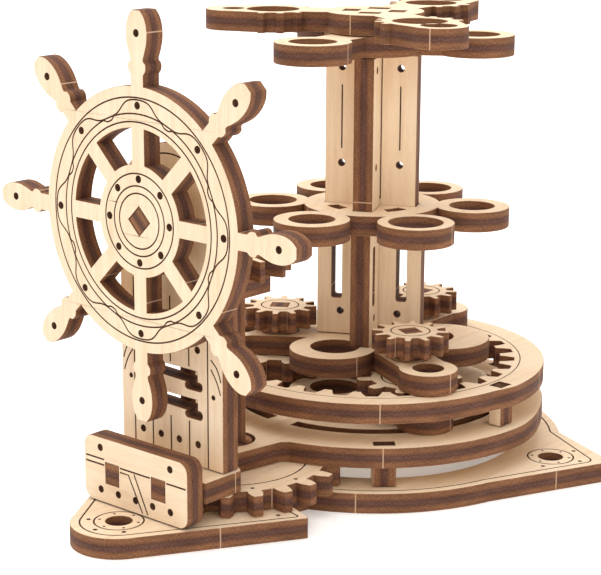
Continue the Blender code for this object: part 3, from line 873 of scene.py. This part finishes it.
def wheel():
    lift = Matrix.Translation((0, 0, WHEEL_Z))
    outline = []
    grip = [(26.3, 1.6), (27.1, 2.2), (28.2, 2.2), (28.9, 1.6), (30.4, 2.1), (32.3, 2.6), (34.5, 2.6)]
    grip += [(36.4, 2.0), (37.6, 1.0)]
    grip = smooth(grip, 5)
    rim = 24.3
    root = math.degrees(math.asin(1.6 / rim))
    for index in range(8):
        turn = 90 + 45 * index
        outline += arc((0, 0), rim, turn - 45 + root, turn - root, 24)
        outline += turned([(x, -y) for x, y in grip] + list(reversed(grip)), turn)
    holes = [square_hole(3.9, 45)]
    marks = []
    for index in range(8):
        turn = 45 * index
        near = math.degrees(math.asin(1.6 / 10.3))
        far = math.degrees(math.asin(1.6 / 16.8))
        opening = arc((0, 0), 16.8, turn + far, turn + 45 - far, 18)
        opening += arc((0, 0), 10.3, turn + 45 - near, turn + near, 12)
        holes.append(opening)
        marks += dots([polar(radius, turn) for radius in (7.65, 20.85, 33.6)])
    lines = []
    for radius in (22.25, 17.9, 8.65, 6.4, 5.05):
        lines += ribbon(circle(radius, steps=180), 0.3, closed=True)
    scores = [(lines, SCORE_DEPTH), (marks, 0.7)]
    for line in (rope_line(), core_line()):
        scores.append((ribbon(line, 0.3, closed=True), SCORE_DEPTH))
    board("wheel", outline, holes, lift @ facing(WHEEL_X), "wheel", scores=scores, grain=90)
    crown = wedge_outline(CROWN_TEETH, 10.8, 8.9, (0.16, 0.08), 270)
    square = square_hole(3.9, 45)
    board("wheel_gear", crown, [square], lift @ facing(WHEEL_GEAR_X), "wheel")
    along = Matrix.Rotation(math.radians(90), 4, "Y") @ Matrix.Rotation(math.radians(45), 4, "Z")
    stepped_rod("wheel_rod", [("square", 1.8, WHEEL_X, -47.5)], lift @ along, "wheel")


def smooth(points, steps):
    """A soft curve through these points."""
    result = []
    for index in range(len(points) - 1):
        p0 = Vector(points[max(index - 1, 0)])
        p1 = Vector(points[index])
        p2 = Vector(points[index + 1])
        p3 = Vector(points[min(index + 2, len(points) - 1)])
        for step in range(steps):
            t = step / steps
            bend = 2 * p1 + (p2 - p0) * t + (2 * p0 - 5 * p1 + 4 * p2 - p3) * t ** 2
            bend += (3 * p1 - p0 - 3 * p2 + p3) * t ** 3
            result.append(tuple(bend / 2))
    return result + [points[-1]]


def window(low, reach):
    height = 1.7
    step = low + height
    high = step + 2.1
    slot = rounded([(-8.0, low), (8.0, low), (8.0, step), (reach, step)], [0.7, 0.7, 0.7, 0], 6)
    return slot + [(reach, high), (-reach, high), (-reach, step), (-8.0, step)]


def tower():
    foot = DECK_Z + PLY + 0.2
    outline = [(-TOWER_HALF, foot), (TOWER_HALF, foot)] + arc((0, WHEEL_Z), TOWER_HALF, 0, 180, 60)
    holes = [circle(2.9, (0, WHEEL_Z), 32), window(27.0, 6.8), window(21.5, 6.8)]
    planks = []
    for at in (-9.8, 9.4):
        planks += ribbon([(at, foot + 0.1), (at, 46.0)])
    for at in (-5.0, -0.2, 4.6):
        planks += ribbon([(at, foot + 0.1), (at, 20.9)]) + ribbon([(at, 31.4), (at, 44.0)])
    marks = dots([(at, height) for at in (-7.7, -2.9, 1.9, 6.8) for height in (16.7, 34.9)])
    marks += dots([(10.8, 26.6), (-10.8, 26.6)], 0.5)
    swirls = []
    for side in (1, -1):
        for bow in (((10.2, 33.7), (11.6, 32.4), (12.4, 30.8), (12.7, 29.8)),
                    ((10.2, 31.9), (11.4, 30.2), (12.2, 28.5), (12.6, 27.4))):
            swirls += ribbon([(side * x, z) for x, z in smooth(bow, 6)], 0.3)
    arch = ribbon(arc((0, WHEEL_Z), 11.3, -10, 190, 70), 0.3)
    scores = [(planks, SCORE_DEPTH), (marks, 0.6), (swirls, SCORE_DEPTH), (arch, SCORE_DEPTH)]
    board("tower_front", outline, holes, facing(TOWER_X), "base", scores=scores, grain=90)
    behind = TOWER_X + PLY + GAP
    shelf = rounded(rectangle((behind, -5.4), (-36.3, 5.4)), 1.0, 5)
    hole = circle(DRIVE_ROD / 2 + 1.2, (DRIVE_X, 0), 40)
    board("tower_bracket", shelf, [hole], lying(BRACKET_Z), "base")
    rib = rectangle((behind, foot), (-45.9, BRACKET_Z - GAP))
    board("tower_rib", rib, [], upright(0), "base", grain=90)


def sign():
    plate = rounded(rectangle((-SIGN_HALF, 4.3), (SIGN_HALF, 17.0)), 2.2, 10)
    holes = []
    for side in (1, -1):
        edges = (side * 6.1 - 1.8, side * 6.1 + 1.8)
        holes.append(rectangle((edges[0], DECK_Z - 0.1), (edges[1], DECK_Z + PLY + 0.1)))
    seams = []
    runs = ((-13.2, -8.2, 12.8), (-13.2, -8.2, 11.7), (-4.0, 4.0, 12.1), (8.2, 13.2, 12.1))
    for left, right, height in runs:
        seams += ribbon([(left, height), (right, height)])
    brace = ribbon([(-4.0, 11.3), (-1.7, 11.3), (1.9, 4.7)]) + ribbon([(-0.2, 11.8), (3.3, 4.7)])
    marks = dots([(at, 6.75) for at in (-9.2, -4.5, 0.1, 4.6, 9.2)] + [(-9.2, 15.0), (9.2, 15.0)])
    scores = [(seams, SCORE_DEPTH), (brace, SCORE_DEPTH), (marks, 0.6)]
    board("sign_plate", plate, holes, facing(SIGN_X), "base", scores=scores)


# the studio

def studio():
    world = bpy.data.worlds.new("studio_air")
    bpy.context.scene.world = world
    world.use_nodes = True
    air = world.node_tree.nodes["Background"]
    air.inputs["Color"].default_value = (1.0, 1.0, 1.0, 1.0)
    air.inputs["Strength"].default_value = 0.8
    floor_mesh = bpy.data.meshes.new("table_top")
    shape = bmesh.new()
    bmesh.ops.create_grid(shape, x_segments=1, y_segments=1, size=6.0)
    shape.to_mesh(floor_mesh)
    shape.free()
    floor = bpy.data.objects.new("table_top", floor_mesh)
    bpy.context.scene.collection.objects.link(floor)
    material, _, shader = new_material("white_table")
    shader.inputs["Base Color"].default_value = (0.95, 0.95, 0.95, 1.0)
    shader.inputs["Emission Color"].default_value = (1.0, 1.0, 1.0, 1.0)
    shader.inputs["Emission Strength"].default_value = 0.22
    shader.inputs["Roughness"].default_value = 0.6
    shader.inputs["Specular IOR Level"].default_value = 0.2
    floor_mesh.materials.append(material)
    lamp("key_lamp", (-0.75, -0.15, 0.75), 0.6, 2.0, (1.0, 0.97, 0.94))
    lamp("fill_lamp", (-0.1, -0.9, 0.55), 0.9, 1.3, (1.0, 0.76, 0.54))
    lamp("top_lamp", (0.1, 0.3, 1.0), 0.9, 9.0, (1.0, 0.97, 0.94))


def lamp(name, spot, size, power, colour):
    light = bpy.data.lights.new(name, "AREA")
    light.size = size
    light.energy = power
    light.color = colour
    holder = bpy.data.objects.new(name, light)
    holder.location = spot
    aim = Vector((0.0, 0.0, 0.04)) - Vector(spot)
    holder.rotation_euler = aim.to_track_quat("-Z", "Y").to_euler()
    bpy.context.scene.collection.objects.link(holder)


def camera():
    lens = bpy.data.cameras.new("camera")
    lens.lens = 112.75
    lens.sensor_width = 36.0
    lens.clip_start = 0.01
    holder = bpy.data.objects.new("camera", lens)
    bpy.context.scene.collection.objects.link(holder)
    holder.location = (-0.2738, -0.2388, 0.1308)
    across = math.radians(41.24)
    down = math.radians(14.26)
    ahead = Vector((math.cos(across) * math.cos(down), math.sin(across) * math.cos(down), -math.sin(down)))
    turn = ahead.to_track_quat("-Z", "Y") @ Euler((0, 0, math.radians(0.26))).to_quaternion()
    holder.rotation_euler = turn.to_euler()
    bpy.context.scene.camera = holder


base_plate()
lower_deck()
deck_posts()
ring_spacers()
ring_gear()
planets()
carriers()
column()
mid_tray()
low_tray()
top_tray()
carousel_drive()
drive()
wheel()
tower()
sign()
studio()
camera()
bpy.context.scene.view_settings.view_transform = "Standard"
